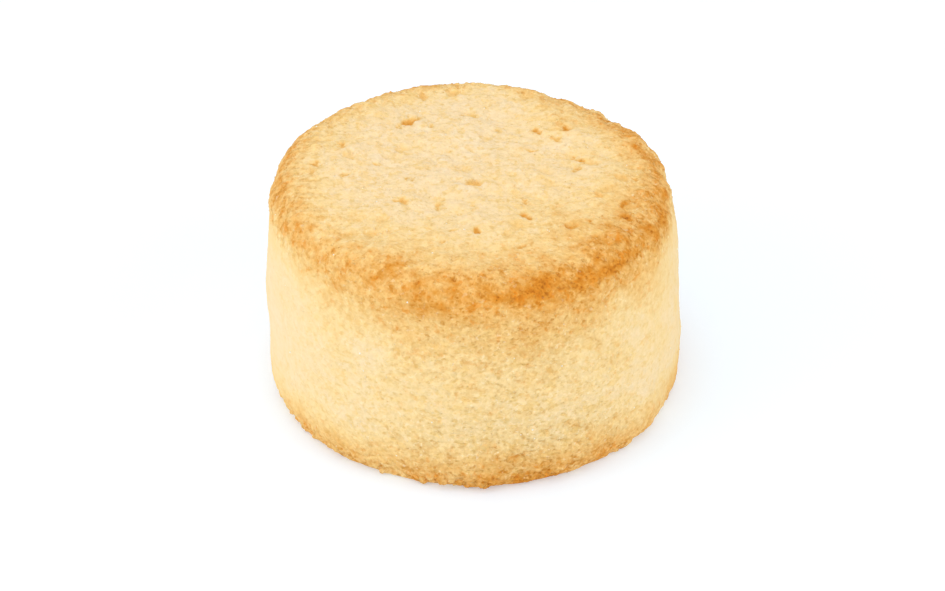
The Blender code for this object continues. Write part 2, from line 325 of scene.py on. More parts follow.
def pit_depths(points):
    """How far the pits of the top and the nicks of the wall sink the surface at each point, and
    how much browner they are, which fades as the square of the depth. Each is an oval pit, whose
    edge is torn by shifting the points a little with waves."""
    torn = wave_sum(points, TORN_SIDEWAYS)
    at_x, at_y = points[:, 0] + torn, points[:, 1] + wave_sum(points, TORN_BACKWARDS)
    sunk, browner = np.zeros(len(points)), np.zeros(len(points))
    on_top = points[:, 2] > HEIGHT - SHOULDER_RADIUS / 2
    for x, y, length, width, turn, depth, stain in TOP_PITS:
        cos, sin = math.cos(math.radians(turn)), math.sin(math.radians(turn))
        along = (at_x - x * MM) * cos + (at_y - y * MM) * sin
        across = (at_y - y * MM) * cos - (at_x - x * MM) * sin
        bowl = on_top * oval_pit(along, across, length * MM, width * MM)
        sunk += depth * MM * bowl
        browner = np.maximum(browner, stain * bowl**2)
    for x, y in PINPRICKS:
        along, across = at_x - x * MM, at_y - y * MM
        bowl = on_top * oval_pit(along, across, PINPRICK_WIDTH, PINPRICK_WIDTH)
        sunk += PINPRICK_DEPTH * bowl
        browner = np.maximum(browner, PINPRICK_STAIN * bowl**2)
    draw = np.random.default_rng(SCATTERED_SEED)
    for _ in range(SCATTERED_PITS):
        turn, reach = draw.uniform(0, 2 * math.pi), SCATTERED_SPREAD * math.sqrt(draw.uniform())
        width, depth = 2 * draw.uniform(*SCATTERED_RADIUS), draw.uniform(*SCATTERED_DEPTH)
        along, across = at_x - reach * math.cos(turn), at_y - reach * math.sin(turn)
        sunk += depth * on_top * oval_pit(along, across, width, width)
    for turn, height, length, depth in WALL_NICKS:
        x, y = BASE_RADIUS * math.cos(math.radians(turn)), BASE_RADIUS * math.sin(math.radians(turn))
        along = np.hypot(at_x - x, at_y - y)
        across = points[:, 2] + torn - height * MM
        sunk += depth * MM * oval_pit(along, across, length * MM, NICK_SLIMNESS * length * MM)
    return sunk, browner


def pores(points, size, seed, share, radius, depth):
    """Small open pores: in that share of the cells, a bowl whose radius and depth grow from 0.45
    to 1 of the given ones with the cell's own number, and which rises smoothly to its edge."""
    away, _second, own = cells(points, size, seed)
    strength = 0.45 + 0.55 * own / share
    edge = radius * strength / size
    return np.where(own < share, depth * strength * (1 - fade(away / edge, 0.15, 1.0)), 0)


def lip(points):
    """How far the lip at the foot stands out: LIP_REACH times a swell, which rises over the first
    quarter of LIP_HEIGHT and fades from 0.4 to 1.6 of it, times 0.35 more than the clumps."""
    up = points[:, 2]
    swell = fade(up, 0, 0.25 * LIP_HEIGHT) * (1 - fade(up, 0.4 * LIP_HEIGHT, 1.6 * LIP_HEIGHT))
    return LIP_REACH * swell * (0.35 + clumps(points, LIP_BREAK_SIZE, LIP_SEED))


def settle(points):
    """The swelling wall, the oval, the slant and the lean of the baked piece: across it grows by
    1 + OVAL cos 2(turn - OVAL_TURN) + BELLY sin(pi height / HEIGHT), then it slants and leans."""
    turn = np.arctan2(points[:, 1], points[:, 0])
    stretch = 1 + OVAL * np.cos(2 * (turn - OVAL_TURN))
    stretch += BELLY * np.sin(math.pi * np.clip(points[:, 2] / HEIGHT, 0, 1))
    x, y = points[:, 0] * stretch, points[:, 1] * stretch
    height = points[:, 2] * (1 + SLANT * x)
    return np.column_stack([x + LEAN * height, y, height])


def ring_marks(points):
    """Faint level drag marks that the ring left on the wall: waves of 3.3 mm, squeezed to a sixth
    of that in height."""
    return waves(points * np.array([1, 1, 6]) / 6, 0.55 * MM, seed=47, count=60)


def bell(values, middle, width):
    """1 at the middle, falling off as a bell of that width; the values are turns in degrees."""
    away = (values - middle + 180) % 360 - 180
    return np.exp(-((away / width) ** 2))


skin_points, skin_triangles = drum_skin()
down = way_down(skin_points)
turn = np.degrees(np.arctan2(skin_points[:, 1], skin_points[:, 0]))
up = skin_points[:, 2]

# Sides of the body: the turn of each one's middle from +X, and its reach either way, in degrees.
# The ring smoothed the wall at the left and the right, and tore the skin off the front.
LEFT_WALL, RIGHT_WALL, FRONT_WALL, PAINTED_SHADE_FRONT = (-165, 42), (-12, 34), (-80, 36), (-78, 40)
LEFT_SHOULDER, BACK, FAR_LEFT = (-130, 32), (95, 25), (-170, 25)
LEFT_FOOT, FRONT_LEFT_FOOT, RIGHT_FOOT = (-165, 45), (-112, 15), (-22, 38)
RIGHT_LIP, RIGHT_TUCK, PALE_FOOT = (-22, 34), (-30, 25), (-28, 30)
SHOULDER_WIDTH = 4.0  # half the width of the browned shoulder, in millimetres along the outline

# How coarse the crumb is at each point: the browned shoulder, the foot and the front of the wall
# are the most crumbly, and the left and the right of the wall the least.
COARSE_TOP, COARSER_WALL, COARSER_SHOULDER, COARSER_FOOT = 0.85, 0.15, 0.50, 0.50
COARSER_LOW_WALL, COARSER_FRONT, CALMER_LEFT, CALMER_RIGHT = 0.25, 0.15, 0.80, 0.74
on_wall, on_top = fade(down, 3.0, 5.0), 1 - fade(down, -6.0, -2.5)
shoulder = np.exp(-((down / SHOULDER_WIDTH) ** 2))
foot = 1 - fade(up, 0.6 * MM, 4.5 * MM)
low_wall = on_wall * (1 - fade(up, 6 * MM, 15 * MM))
calm_side = CALMER_LEFT * bell(turn, *LEFT_WALL) + CALMER_RIGHT * bell(turn, *RIGHT_WALL)
coarse = COARSE_TOP + COARSER_WALL * on_wall
coarse += COARSER_SHOULDER * shoulder * (1 - 0.6 * bell(turn, *LEFT_SHOULDER))
coarse += COARSER_FOOT * foot
coarse += COARSER_LOW_WALL * low_wall
coarse += COARSER_FRONT * on_wall * (1 - 0.7 * foot) * bell(turn, *FRONT_WALL)
coarse *= 1 - on_wall * (1 - 0.2 * foot) * calm_side
# Painted shade: the colour of the lower front wall is darkened, by up to 7 % in the material's shade,
# standing in for the shade that falls there.
front_wall_painted_shade = on_wall * (0.5 + 0.5 * low_wall) * (1 - 0.8 * foot) * bell(turn, *PAINTED_SHADE_FRONT)

# The relief: the body's own lumps, clumps, rim, pits and lip, then the crumb's grains as domes
# of 1.2 mm and waves of 0.75 mm, two kinds of pores, the ring's marks, and a broken foot.
GRAIN_SIZE, GRAIN_HEIGHT = 1.2 * MM, 0.095 * MM
FINE_SIZE, FINE_HEIGHT = 0.75 * MM, 0.055 * MM
MARK_HEIGHT = 0.016 * MM
FOOT_CRUMB_SIZE, FOOT_CRUMB_HEIGHT = 1.9 * MM, 0.36 * MM
FOOT_TUCK, SHOULDER_TUCK = 0.30 * MM, 0.10 * MM  # drawn in, so that the crumbs stand out from there
WIDE_PORES = (2.2 * MM, 52, 0.40, 0.62 * MM, 0.26 * MM)  # apart, seed, share, radius, depth
SMALL_PORES = (1.25 * MM, 53, 0.50, 0.36 * MM, 0.20 * MM)
above_base = fade(up, 0, 0.5 * FOOT_RADIUS)
foot_edge = 1 - fade(up, 1.2 * MM, 3.5 * MM)
off_wall = fade(up, HEIGHT - 1.4 * SHOULDER_RADIUS, HEIGHT - 0.5 * SHOULDER_RADIUS)
from_middle = np.hypot(skin_points[:, 0], skin_points[:, 1])
rim_reach = fade(from_middle, 0.8 * TOP_RADIUS, 0.9 * TOP_RADIUS)
towards_rim_turn = np.cos(np.radians(turn) - RIM_TURN)
rim = off_wall * rim_reach * (0.25 + 0.75 * fade(towards_rim_turn, 0, 1))
grain_near, _grain_second, grain_own = cells(skin_points, GRAIN_SIZE, seed=51)
wide_pores, small_pores = pores(skin_points, *WIDE_PORES), pores(skin_points, *SMALL_PORES)
open_pores = (1 - 0.85 * on_wall) * wide_pores + (1 - 0.5 * on_wall) * coarse * small_pores
pits, stains = pit_depths(skin_points)

smooth_back = 1 - 0.5 * bell(turn, *BACK) - 0.5 * bell(turn, *FAR_LEFT)
relief = LUMP_HEIGHT * waves(skin_points, LUMP_SIZE, LUMP_SEED)
clump_share = WALL_SHARE + (1 - WALL_SHARE) * off_wall
relief += CLUMP_HEIGHT * clump_share * smooth_back * clumps(skin_points, CLUMP_SIZE, CLUMP_SEED)
relief += RIM_HEIGHT * rim * smooth_back * waves(skin_points, CLUMP_SIZE, RIM_SEED)
relief += GRAIN_HEIGHT * coarse * (0.5 - 1.6 * grain_near**2 + 0.35 * (grain_own - 0.5))
relief += FINE_HEIGHT * coarse * (1 - 0.6 * on_top) * waves(skin_points, FINE_SIZE, seed=54, count=60)
relief += MARK_HEIGHT * on_wall * ring_marks(skin_points)
foot_crumbling = foot * (1 - 0.8 * bell(turn, *RIGHT_FOOT))
relief += FOOT_CRUMB_HEIGHT * foot_crumbling * (clumps(skin_points, FOOT_CRUMB_SIZE, seed=56) - 0.5)
foot_tuck = FOOT_TUCK * foot_edge * (1 - 0.7 * bell(turn, *RIGHT_TUCK))
relief -= pits + open_pores + foot_tuck + SHOULDER_TUCK * shoulder
relief = above_base * relief + (1 - 0.6 * bell(turn, *RIGHT_LIP)) * lip(skin_points)

# The underside lay on the tray: flat, with shallow pores and hollows that open downwards.
UNDER_HOLLOW_SIZE, UNDER_HOLLOW_DEPTH = 4.5 * MM, 0.10 * MM
underneath = up < 0.001 * MM
under_edge = fade(from_middle, BASE_RADIUS - 3 * MM, BASE_RADIUS - 1.4 * MM)
under = underneath * (1 - under_edge)
under_pores = 1.3 * wide_pores + 1.2 * small_pores
under_pores += UNDER_HOLLOW_DEPTH * fade(waves(skin_points, UNDER_HOLLOW_SIZE, seed=55), 0.0, 0.9)

# How brown each point baked, from 0, raw and pale, to 1 and over, dark: the shoulder's band,
# fading in over the top and down the wall, its toasted patches, a little more at the front and
# on the far wall, the tan foot, spots of single crumbs, the pits' stains, and the underside.
PATCHINESS = ((5.5 * MM, 1.0, 61), (2.2 * MM, 0.6, 62))  # size, share and seed of the waves
SPOTS = ((1.3 * MM, 1.0, 64), (2.8 * MM, 0.8, 65))
BAND_FALL = 1.9  # how steeply the band falls beyond where it halves
WALL_BROWN, LOW_WALL_BROWN, LEFT_WALL_PALER, BACK_WALL_BROWNER = 0.02, 0.05, 0.06, 0.09
FRONT_BROWNER = 0.10  # by how much the front baked browner than the middle, and the back less
FOOT_BROWN, FOOT_FADES = 0.76, (0.3 * MM, 9.0 * MM)
UNDER_BROWN = 0.74
PIT_DARKEST = 0.40 * MM  # a hollow of this depth counts as 1
rim_turns = np.array([place[0] for place in BROWNED_RIM])
rim_brown, rim_middle, rim_in, rim_down = (
    np.interp(turn, rim_turns, [place[column] for place in BROWNED_RIM], period=360)
    for column in (1, 2, 3, 4)
)
patchy = wave_sum(skin_points, PATCHINESS)
shifted = down - rim_middle + 0.6 * waves(skin_points, 7.0 * MM, seed=63)
half_reach = np.where(shifted < 0, rim_in, rim_down)
band = 1 / (1 + np.abs(shifted / half_reach) ** BAND_FALL)
toast = np.zeros(len(skin_points))
for patch_turn, patch_down, length, width, amount in TOASTED_PATCHES:
    around = np.radians((turn - patch_turn + 180) % 360 - 180) * TOP_RADIUS / MM
    away = np.hypot(around / (length / 2), (down - patch_down) / (width / 2))
    toast += amount * (1 - fade(away, 0.2, 1.5))
brown = (rim_brown * band + toast) * (1 + 0.12 * patchy)
wall_brown = WALL_BROWN + LOW_WALL_BROWN * low_wall - LEFT_WALL_PALER * bell(turn, *LEFT_WALL)
brown += on_wall * wall_brown * (1 + 0.4 * patchy) - FRONT_BROWNER * skin_points[:, 1] / TOP_RADIUS
brown += BACK_WALL_BROWNER * on_wall * fade(skin_points[:, 1], 0, BASE_RADIUS)
foot_brown = FOOT_BROWN - 0.30 * bell(turn, *LEFT_FOOT) - 0.36 * bell(turn, *PALE_FOOT)
foot_brown -= 0.28 * bell(turn, *FRONT_LEFT_FOOT)
brown += foot_brown * (1 - fade(up, *FOOT_FADES)) * (1 + 0.10 * patchy)
spotty = (0.065 + 0.08 * shoulder + 0.09 * foot) * (1 - 0.5 * on_wall * calm_side)
brown += spotty * wave_sum(skin_points, SPOTS)
brown += stains + 0.05 * waves(skin_points, 7.0 * MM, seed=66)
brown = np.where(underneath, UNDER_BROWN + 0.14 * patchy, brown)
brown = np.clip(brown, -0.2, 1.5)
open_holes = 0.8 * open_pores + 0.5 * (1 - on_wall) * small_pores
hollow = np.clip((pits + open_holes + under * under_pores) / PIT_DARKEST, 0, 2)

body_points = skin_points + outwards(skin_points) * relief[:, None]
body_points[:, 2] += under * under_pores
body_points = settle(body_points)
cad_low, cad_high = (np.array(corner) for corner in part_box("macaroon"))
body_middle = (body_points.min(axis=0) + body_points.max(axis=0)) / 2
body_points[:, :2] += ((cad_low + cad_high) / 2 - body_middle)[:2]
body_points[:, 2] += cad_low[2] - body_points[:, 2].min()


def make_piece(name, points, triangles, values, material, smooth=True):
    """An object at the origin with these points and triangles; each of the values is one number
    a point, which the material reads by its name."""
    mesh = bpy.data.meshes.new(name)
    mesh.vertices.add(len(points))
    mesh.vertices.foreach_set("co", points.astype(np.float32).ravel())
    mesh.loops.add(triangles.size)
    mesh.loops.foreach_set("vertex_index", triangles.astype(np.int32).ravel())
    mesh.polygons.add(len(triangles))
    mesh.polygons.foreach_set("loop_start", np.arange(0, triangles.size, 3, dtype=np.int32))
    mesh.update(calc_edges=True)
    mesh.validate()
    for value_name, numbers in values.items():
        attribute = mesh.attributes.new(value_name, "FLOAT", "POINT")
        attribute.data.foreach_set("value", numbers.astype(np.float32))
    mesh.materials.append(material)
    if smooth:
        mesh.shade_smooth()
    piece = bpy.data.objects.new(name, mesh)
    bpy.context.scene.collection.objects.link(piece)
    return piece


def linear(hex_colour):
    """The linear RGBA of an sRGB hex colour: each channel c becomes ((c + 0.055) / 1.055)^2.4, or
    c / 12.92 where c is under 0.04045."""
    channels = np.array([int(hex_colour[i:i + 2], 16) for i in (1, 3, 5)]) / 255
    straight = np.where(channels > 0.04045, ((channels + 0.055) / 1.055) ** 2.4, channels / 12.92)
    return (*straight, 1.0)


def add_node(tree, kind, settings, inputs):
    """Adds one node: settings are its properties, and inputs give, for each input by its name or
    place, a value to hold or the output to link it to."""
    node = tree.nodes.new(kind)
    for name, value in settings.items():
        setattr(node, name, value)
    for name, value in inputs.items():
        if isinstance(value, bpy.types.NodeSocket):
            tree.links.new(value, node.inputs[name])
        else:
            node.inputs[name].default_value = value
    return node


# Baked crumb of ground almond and sugar: matte, barely see-through, cream where pale, then straw,
# honey, amber and brown as its sugar caramelised. It is made of grains of 0.3 to 0.6 mm with
# pinholes and creases between them, so its colour changes from grain to grain; its hollows show
# the moist ochre crumb inside, and bits of almond and sugar show as paler specks.
BAKED_COLOURS = (
    (-0.25, "#F2E0C1"),
    (0.00, "#F2D8AC"),
    (0.25, "#F2D295"),
    (0.50, "#ECC079"),
    (0.75, "#E4AB5D"),
    (1.00, "#DB973F"),
    (1.30, "#D7892A"),
    (1.70, "#BC6E1D"),
)
PALEST, BROWNEST = BAKED_COLOURS[0][0], BAKED_COLOURS[-1][0]
OCHRE, STRAW, AMBER, SPECK = "#E9B558", "#EFC77A", "#E48C28", "#FCE7BE"
GRAIN_WIDTH, SPECKLE_WIDTH, CREASE_CELL = 0.56 * MM, 0.48 * MM, 1.1 * MM
CREASE_BEND_WIDTH, CREASE_BEND = 0.9 * MM, 0.8 * MM
PATTERN_SHIFT, PATTERN_SQUASH = (0.031, 0.017, 0.043), (1, 1, 1.5)  # apart from the others, flatter
crumb = bpy.data.materials.new("baked_almond_crumb")
crumb.use_nodes = True
tree = crumb.node_tree
shader = tree.nodes["Principled BSDF"]
place = add_node(tree, "ShaderNodeTexCoord", {}, {}).outputs["Object"]
moved = add_node(
    tree, "ShaderNodeMapping", {}, {"Vector": place, "Location": PATTERN_SHIFT, "Scale": PATTERN_SQUASH}
).outputs[0]
parts = {
    name: add_node(tree, "ShaderNodeAttribute", {"attribute_name": name}, {}).outputs["Fac"]
    for name in ("brown", "hollow", "coarse", "open")
}

# Single grains, each of its own tone and domed, and the finer speckles on them.
grain = add_node(
    tree, "ShaderNodeTexVoronoi", {"feature": "F1"}, {"Vector": place, "Scale": 1 / GRAIN_WIDTH}
)
parts["grain_away"] = grain.outputs["Distance"]
parts["grain"] = add_node(
    tree, "ShaderNodeSeparateColor", {}, {"Color": grain.outputs["Color"]}
).outputs["Red"]
parts["speckles"] = add_node(
    tree, "ShaderNodeTexNoise", {},
    {"Vector": place, "Scale": 1 / SPECKLE_WIDTH, "Detail": 1.0, "Roughness": 0.6}
).outputs["Fac"]

# Patterns that show where a noise is high: width, detail, the place it reads, and the values of
# the noise between which it fades in.
for name, width, detail, where, start, end in (
    ("pinholes", 0.80 * MM, 1.0, moved, 0.52, 0.74),
    ("specks", 0.62 * MM, 1.0, place, 0.64, 0.76),
    ("mottles", 1.6 * MM, 3.0, moved, 0.52, 0.62),
    ("toasted", 1.2 * MM, 2.0, place, 0.57, 0.69),
    ("creased", 1.9 * MM, 1.0, place, 0.50, 0.66),
):
    noise = add_node(
        tree, "ShaderNodeTexNoise", {},
        {"Vector": where, "Scale": 1 / width, "Detail": detail, "Roughness": 0.6}
    ).outputs["Fac"]
    parts[name] = add_node(
        tree, "ShaderNodeMapRange", {"interpolation_type": "SMOOTHSTEP"},
        {"Value": noise, "From Min": start, "From Max": end}
    ).outputs["Result"]

# Creases: the lines between clumps of 1.1 mm, bent by a noise.
bend = add_node(
    tree, "ShaderNodeTexNoise", {},
    {"Vector": place, "Scale": 1 / CREASE_BEND_WIDTH, "Detail": 1.0, "Roughness": 0.5}
).outputs["Color"]
bent = add_node(
    tree, "ShaderNodeVectorMath", {"operation": "MULTIPLY_ADD"}, {0: bend, 1: (CREASE_BEND,) * 3, 2: moved}
).outputs["Vector"]
edge = add_node(
    tree, "ShaderNodeTexVoronoi", {"feature": "DISTANCE_TO_EDGE"}, {"Vector": bent, "Scale": 1 / CREASE_CELL}
).outputs["Distance"]
parts["crease"] = add_node(
    tree, "ShaderNodeMapRange", {"interpolation_type": "SMOOTHSTEP"},
    {"Value": edge, "From Min": 0.0, "From Max": 0.22, "To Min": 0.4, "To Max": 0.0}
).outputs["Result"]

# The sums that join the patterns: a row names its result, which a later row may read or make
# anew, and gives the operation on parts and numbers.
for name, operation, *terms in (
    # The fine tone of each grain, about 0, as each pattern is taken less its mean of a half. It
    # is stronger where the crumb is brown or coarse.
    ("contrast", "MULTIPLY_ADD", "brown", 0.10, 0.32),
    ("contrast", "MULTIPLY", "contrast", "coarse"),
    ("tone", "MULTIPLY_ADD", "grain", 0.30, -0.55),
    ("tone", "MULTIPLY_ADD", "speckles", 0.80, "tone"),
    ("tone", "MULTIPLY", "tone", "contrast"),
    # The gaps between grains: pinholes and creases.
    ("pinholes", "MULTIPLY", "pinholes", "coarse"),
    ("crease", "MULTIPLY", "crease", "creased"),
    ("gaps", "MAXIMUM", "pinholes", "crease"),
    # How brown it looks: as it baked, browner in grains, gaps, toasted spots and hollows.
    ("grain_browning", "MULTIPLY_ADD", "brown", 0.78, 0.46),
    ("gap_browning", "MULTIPLY_ADD", "brown", 0.20, 0.13),
    ("toasted", "MULTIPLY", "toasted", "brown"),
    ("baked", "MULTIPLY_ADD", "tone", "grain_browning", "brown"),
    ("baked", "MULTIPLY_ADD", "gaps", "gap_browning", "baked"),
    ("baked", "MULTIPLY_ADD", "toasted", 0.18, "baked"),
    ("baked", "MULTIPLY_ADD", "hollow", 0.18, "baked"),
    ("baked", "SUBTRACT", "baked", PALEST),
    ("baked", "DIVIDE", "baked", BROWNEST - PALEST),
    # How much of each other colour shows: mottles and specks only on the pale crumb.
    ("paleness", "MULTIPLY_ADD", "brown", -0.85, 1.0),
    ("paleness", "MAXIMUM", "paleness", 0.0),
    ("paleness", "MULTIPLY", "paleness", "coarse"),
    ("mottles", "MULTIPLY", "mottles", "paleness"),
    ("straw", "MULTIPLY", "mottles", 0.50),
    ("specks", "MULTIPLY", "specks", "paleness"),
    ("specks", "MULTIPLY", "specks", 0.55),
    ("ochre", "MINIMUM", "hollow", 1.0),
    ("ochre", "MULTIPLY", "ochre", 0.25),
    ("amber", "MULTIPLY", "toasted", 0.48),
    # How dark it looks: 1 less the fine tone of the grains, less painted shade in the gaps between grains
    # and on the lower front wall (the attribute named open).
    ("darkening", "MULTIPLY_ADD", "brown", -0.20, 0.80),
    ("shade", "MULTIPLY", "tone", "darkening"),
    ("shade", "MULTIPLY_ADD", "gaps", 0.06, "shade"),
    ("shade", "MULTIPLY_ADD", "open", 0.07, "shade"),
    ("shade", "SUBTRACT", 1.0, "shade"),
    # The relief too fine for the mesh: domed grains, speckles and sunk gaps.
    ("height", "MULTIPLY", "grain_away", -0.45),
    ("height", "MULTIPLY_ADD", "speckles", -1.1, "height"),
    ("height", "MULTIPLY_ADD", "gaps", -0.6, "height"),
    ("height", "MULTIPLY", "height", "coarse"),
):
    terms = {number: parts.get(term, term) for number, term in enumerate(terms)}
    parts[name] = add_node(tree, "ShaderNodeMath", {"operation": operation}, terms).outputs[0]

ramp = add_node(tree, "ShaderNodeValToRGB", {}, {"Fac": parts["baked"]})
stops = ramp.color_ramp.elements
stops[0].color, stops[1].color = linear(BAKED_COLOURS[0][1]), linear(BAKED_COLOURS[-1][1])
for spot, colour in BAKED_COLOURS[1:-1]:
    stops.new((spot - PALEST) / (BROWNEST - PALEST)).color = linear(colour)
colour = ramp.outputs["Color"]
for share, hex_colour in (("ochre", OCHRE), ("straw", STRAW), ("amber", AMBER)):
    colour = add_node(
        tree, "ShaderNodeMix", {"data_type": "RGBA"},
        {"Factor": parts[share], "A": colour, "B": linear(hex_colour)}
    ).outputs["Result"]
shaded = add_node(tree, "ShaderNodeHueSaturation", {}, {"Color": colour, "Value": parts["shade"]})
colour = add_node(
    tree, "ShaderNodeMix", {"data_type": "RGBA"},
    {"Factor": parts["specks"], "A": shaded.outputs["Color"], "B": linear(SPECK)}
).outputs["Result"]
bump = add_node(
    tree, "ShaderNodeBump", {}, {"Strength": 0.8, "Distance": 0.11 * MM, "Height": parts["height"]}
)
tree.links.new(colour, shader.inputs["Base Color"])
tree.links.new(bump.outputs["Normal"], shader.inputs["Normal"])
shader.inputs["Roughness"].default_value = 0.90
shader.inputs["IOR"].default_value = 1.45
shader.inputs["Specular IOR Level"].default_value = 0.14
shader.inputs["Subsurface Weight"].default_value = 0.06
shader.inputs["Subsurface Radius"].default_value = (1.0, 0.66, 0.34)
shader.inputs["Subsurface Scale"].default_value = 0.7 * MM

# The attribute named open carries the painted shade of the lower front wall.
skin_values = {"brown": brown, "hollow": hollow, "coarse": coarse, "open": front_wall_painted_shade}
body = make_piece("macaroon_body", body_points, skin_triangles, skin_values, crumb)
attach(body, "root")
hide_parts("macaroon")

# === The grains of the crumb ====================================================================
# Grains of ground almond, 0.3 to 0.55 mm, baked two thirds of their radius deep into the dough
# all over. They give the top and the wall their fine tooth, and are fewer where the ring was smooth.
GRAINS = 21000
GRAIN_RADIUS, GRAIN_SUNK = (0.14 * MM, 0.28 * MM), 0.68  # sunk by this share of the radius


def spread_over_skin(count, density, seed):
    """Places on the skin: triangles drawn by their area times the density at their corners, and
    in each an even point. Gives the places, the ways out there, and the skin's values there."""
    draw = np.random.default_rng(seed)
    corners = body_points[skin_triangles]
    crossed = np.cross(corners[:, 1] - corners[:, 0], corners[:, 2] - corners[:, 0])
    doubled_area = np.linalg.norm(crossed, axis=1)
    weight = doubled_area * density[skin_triangles].mean(axis=1)
    chosen = draw.choice(len(weight), count, p=weight / weight.sum())
    shares = draw.dirichlet((1, 1, 1), count)
    places = np.einsum("ij,ijk->ik", shares, corners[chosen])
    values = {
        name: (shares * value[skin_triangles[chosen]]).sum(axis=1)
        for name, value in skin_values.items()
    }
    return places, crossed[chosen] / doubled_area[chosen, None], values


def eight_sided():
    """Corners and triangles of an octahedron of radius 1, the simplest ragged grain: a corner out
    along each half axis, and a triangle for each choice of one half axis of X, Y and Z, turned
    outwards."""
    corners = np.concatenate([np.eye(3), -np.eye(3)])
    choices = [(x, y, z) for x in (0, 3) for y in (1, 4) for z in (2, 5)]
    triangles = [(x, y, z) if (x + y + z) % 2 else (x, z, y) for x, y, z in choices]
    return corners, np.array(triangles)


def lumps(places, sizes, shape, raggedness, seed):
    """A lump at each place: the corners of the shape, each moved in or out by up to the
    raggedness, stretched 0.7 to 1.3 times along three axes, turned at random and scaled."""
    corners, triangles = shape
    draw = np.random.default_rng(seed)
    reach = 1 + raggedness * draw.uniform(-1, 1, (len(places), len(corners), 1))
    stretch = draw.uniform(0.7, 1.3, (len(places), 1, 3))
    axes, _rest = np.linalg.qr(draw.normal(size=(len(places), 3, 3)))
    axes[:, :, 0] *= np.sign(np.linalg.det(axes))[:, None]
    formed = np.einsum("nij,nkj->nki", axes, corners * reach * stretch)
    points = formed * sizes[:, None, None] + places[:, None, :]
    numbers = triangles[None] + len(corners) * np.arange(len(places))[:, None, None]
    return points.reshape(-1, 3), numbers.reshape(-1, 3)


def crumb_piece(name, density, radius, sunk, shape, raggedness, browner, seed, count, smooth=True):
    """A piece of many lumps sunk in the skin, each as brown as the skin there, plus its own
    difference of up to browner either way."""
    places, ways, values = spread_over_skin(count, density, seed)
    draw = np.random.default_rng(seed + 1)
    sizes = draw.uniform(*radius, count)
    places = places - ways * (sunk * sizes)[:, None]
    points, triangles = lumps(places, sizes, shape, raggedness, seed + 2)
    points[:, 2] = np.maximum(points[:, 2], cad_low[2])
    values["brown"] = values["brown"] + browner * draw.uniform(-1, 1, count)
    corner_values = {name: np.repeat(value, len(shape[0])) for name, value in values.items()}
    piece = make_piece(name, points, triangles, corner_values, crumb, smooth)
    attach(piece, "root")
    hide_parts("macaroon")


above_tray = up > 0.5 * MM
off_hollows = 1 - 0.8 * np.minimum(hollow, 1)
grain_density = coarse**2 * (1 + on_top) * above_tray * off_hollows * (1 - 0.5 * foot)
crumb_piece(
    "crumb_grains", grain_density, GRAIN_RADIUS, GRAIN_SUNK, eight_sided(),
    raggedness=0.22, browner=0.20, seed=71, count=GRAINS, smooth=False,
)

# === The crumbs of the browned rim ==============================================================
# Larger crumbs, 0.45 to 0.85 mm, that rose and toasted along the shoulder, most of them at the
# right and the back, where they break the rim's outline.
RIM_CRUMBS = 340
RIM_CRUMB_RADIUS, RIM_CRUMB_SUNK = (0.22 * MM, 0.42 * MM), 0.78


def ball():
    """Corners and triangles of a ball of radius 1: an icosahedron, each of whose 20 faces is cut
    in four."""
    made = bmesh.new()
    bmesh.ops.create_icosphere(made, subdivisions=2, radius=1)
    corners = np.array([vert.co for vert in made.verts])
    triangles = np.array([[vert.index for vert in face.verts] for face in made.faces])
    made.free()
    return corners, triangles


rim_density = np.exp(-(((down + 0.5) / 2.6) ** 2)) * (0.08 + 0.92 * fade(towards_rim_turn, -0.3, 1))
crumb_piece(
    "rim_crumbs", rim_density, RIM_CRUMB_RADIUS, RIM_CRUMB_SUNK, ball(),
    raggedness=0.16, browner=0.20, seed=81, count=RIM_CRUMBS,
)

# === The crumbs of the foot =====================================================================
# Crumbs of 0.8 to 1.7 mm where the dough spread under the ring's edge onto the tray and broke.
# Most of each is baked into the foot, and its cap stands out.
FOOT_CRUMBS = 260
FOOT_CRUMB_RADIUS, FOOT_CRUMB_SUNK = (0.40 * MM, 0.85 * MM), 0.86
low_down = 1 - fade(up, 1.0 * MM, 3.6 * MM)
foot_density = above_tray * low_down * (1 - 0.9 * bell(turn, *RIGHT_FOOT))
crumb_piece(
    "foot_crumbs", foot_density, FOOT_CRUMB_RADIUS, FOOT_CRUMB_SUNK, ball(),
    raggedness=0.16, browner=0.16, seed=91, count=FOOT_CRUMBS,
)

# === The sugar crystals =========================================================================
# Caster sugar that did not melt: a few white, frosted crystals of 0.2 to 0.3 mm, flat-sided, that
# stuck in the crumb of the wall and the top.
CRYSTALS = 70
CRYSTAL_RADIUS, CRYSTAL_SUNK = (0.08 * MM, 0.14 * MM), 0.10
CRYSTAL_SIDE = 1.3  # a side of the block as a share of that radius
SUGAR_WHITE, SUGAR_CREAM = "#FFFDF6", "#F8EBCB"
CLOUD_WIDTH = 0.30 * MM
sugar = bpy.data.materials.new("caster_sugar")
sugar.use_nodes = True
tree = sugar.node_tree
shader = tree.nodes["Principled BSDF"]
place = add_node(tree, "ShaderNodeTexCoord", {}, {}).outputs["Object"]
cloudy = add_node(
    tree, "ShaderNodeTexNoise", {}, {"Vector": place, "Scale": 1 / CLOUD_WIDTH, "Detail": 2.0}
).outputs["Fac"]
tint = add_node(tree, "ShaderNodeValToRGB", {}, {"Fac": cloudy})
for stop, hex_colour in zip(tint.color_ramp.elements, (SUGAR_WHITE, SUGAR_CREAM)):
    stop.color = linear(hex_colour)
frost = add_node(tree, "ShaderNodeMapRange", {}, {"Value": cloudy, "To Min": 0.18, "To Max": 0.45})
tree.links.new(tint.outputs["Color"], shader.inputs["Base Color"])
tree.links.new(frost.outputs["Result"], shader.inputs["Roughness"])
shader.inputs["IOR"].default_value = 1.54
shader.inputs["Subsurface Weight"].default_value = 0.30
shader.inputs["Subsurface Radius"].default_value = (1.0, 0.95, 0.85)
shader.inputs["Subsurface Scale"].default_value = 0.2 * MM

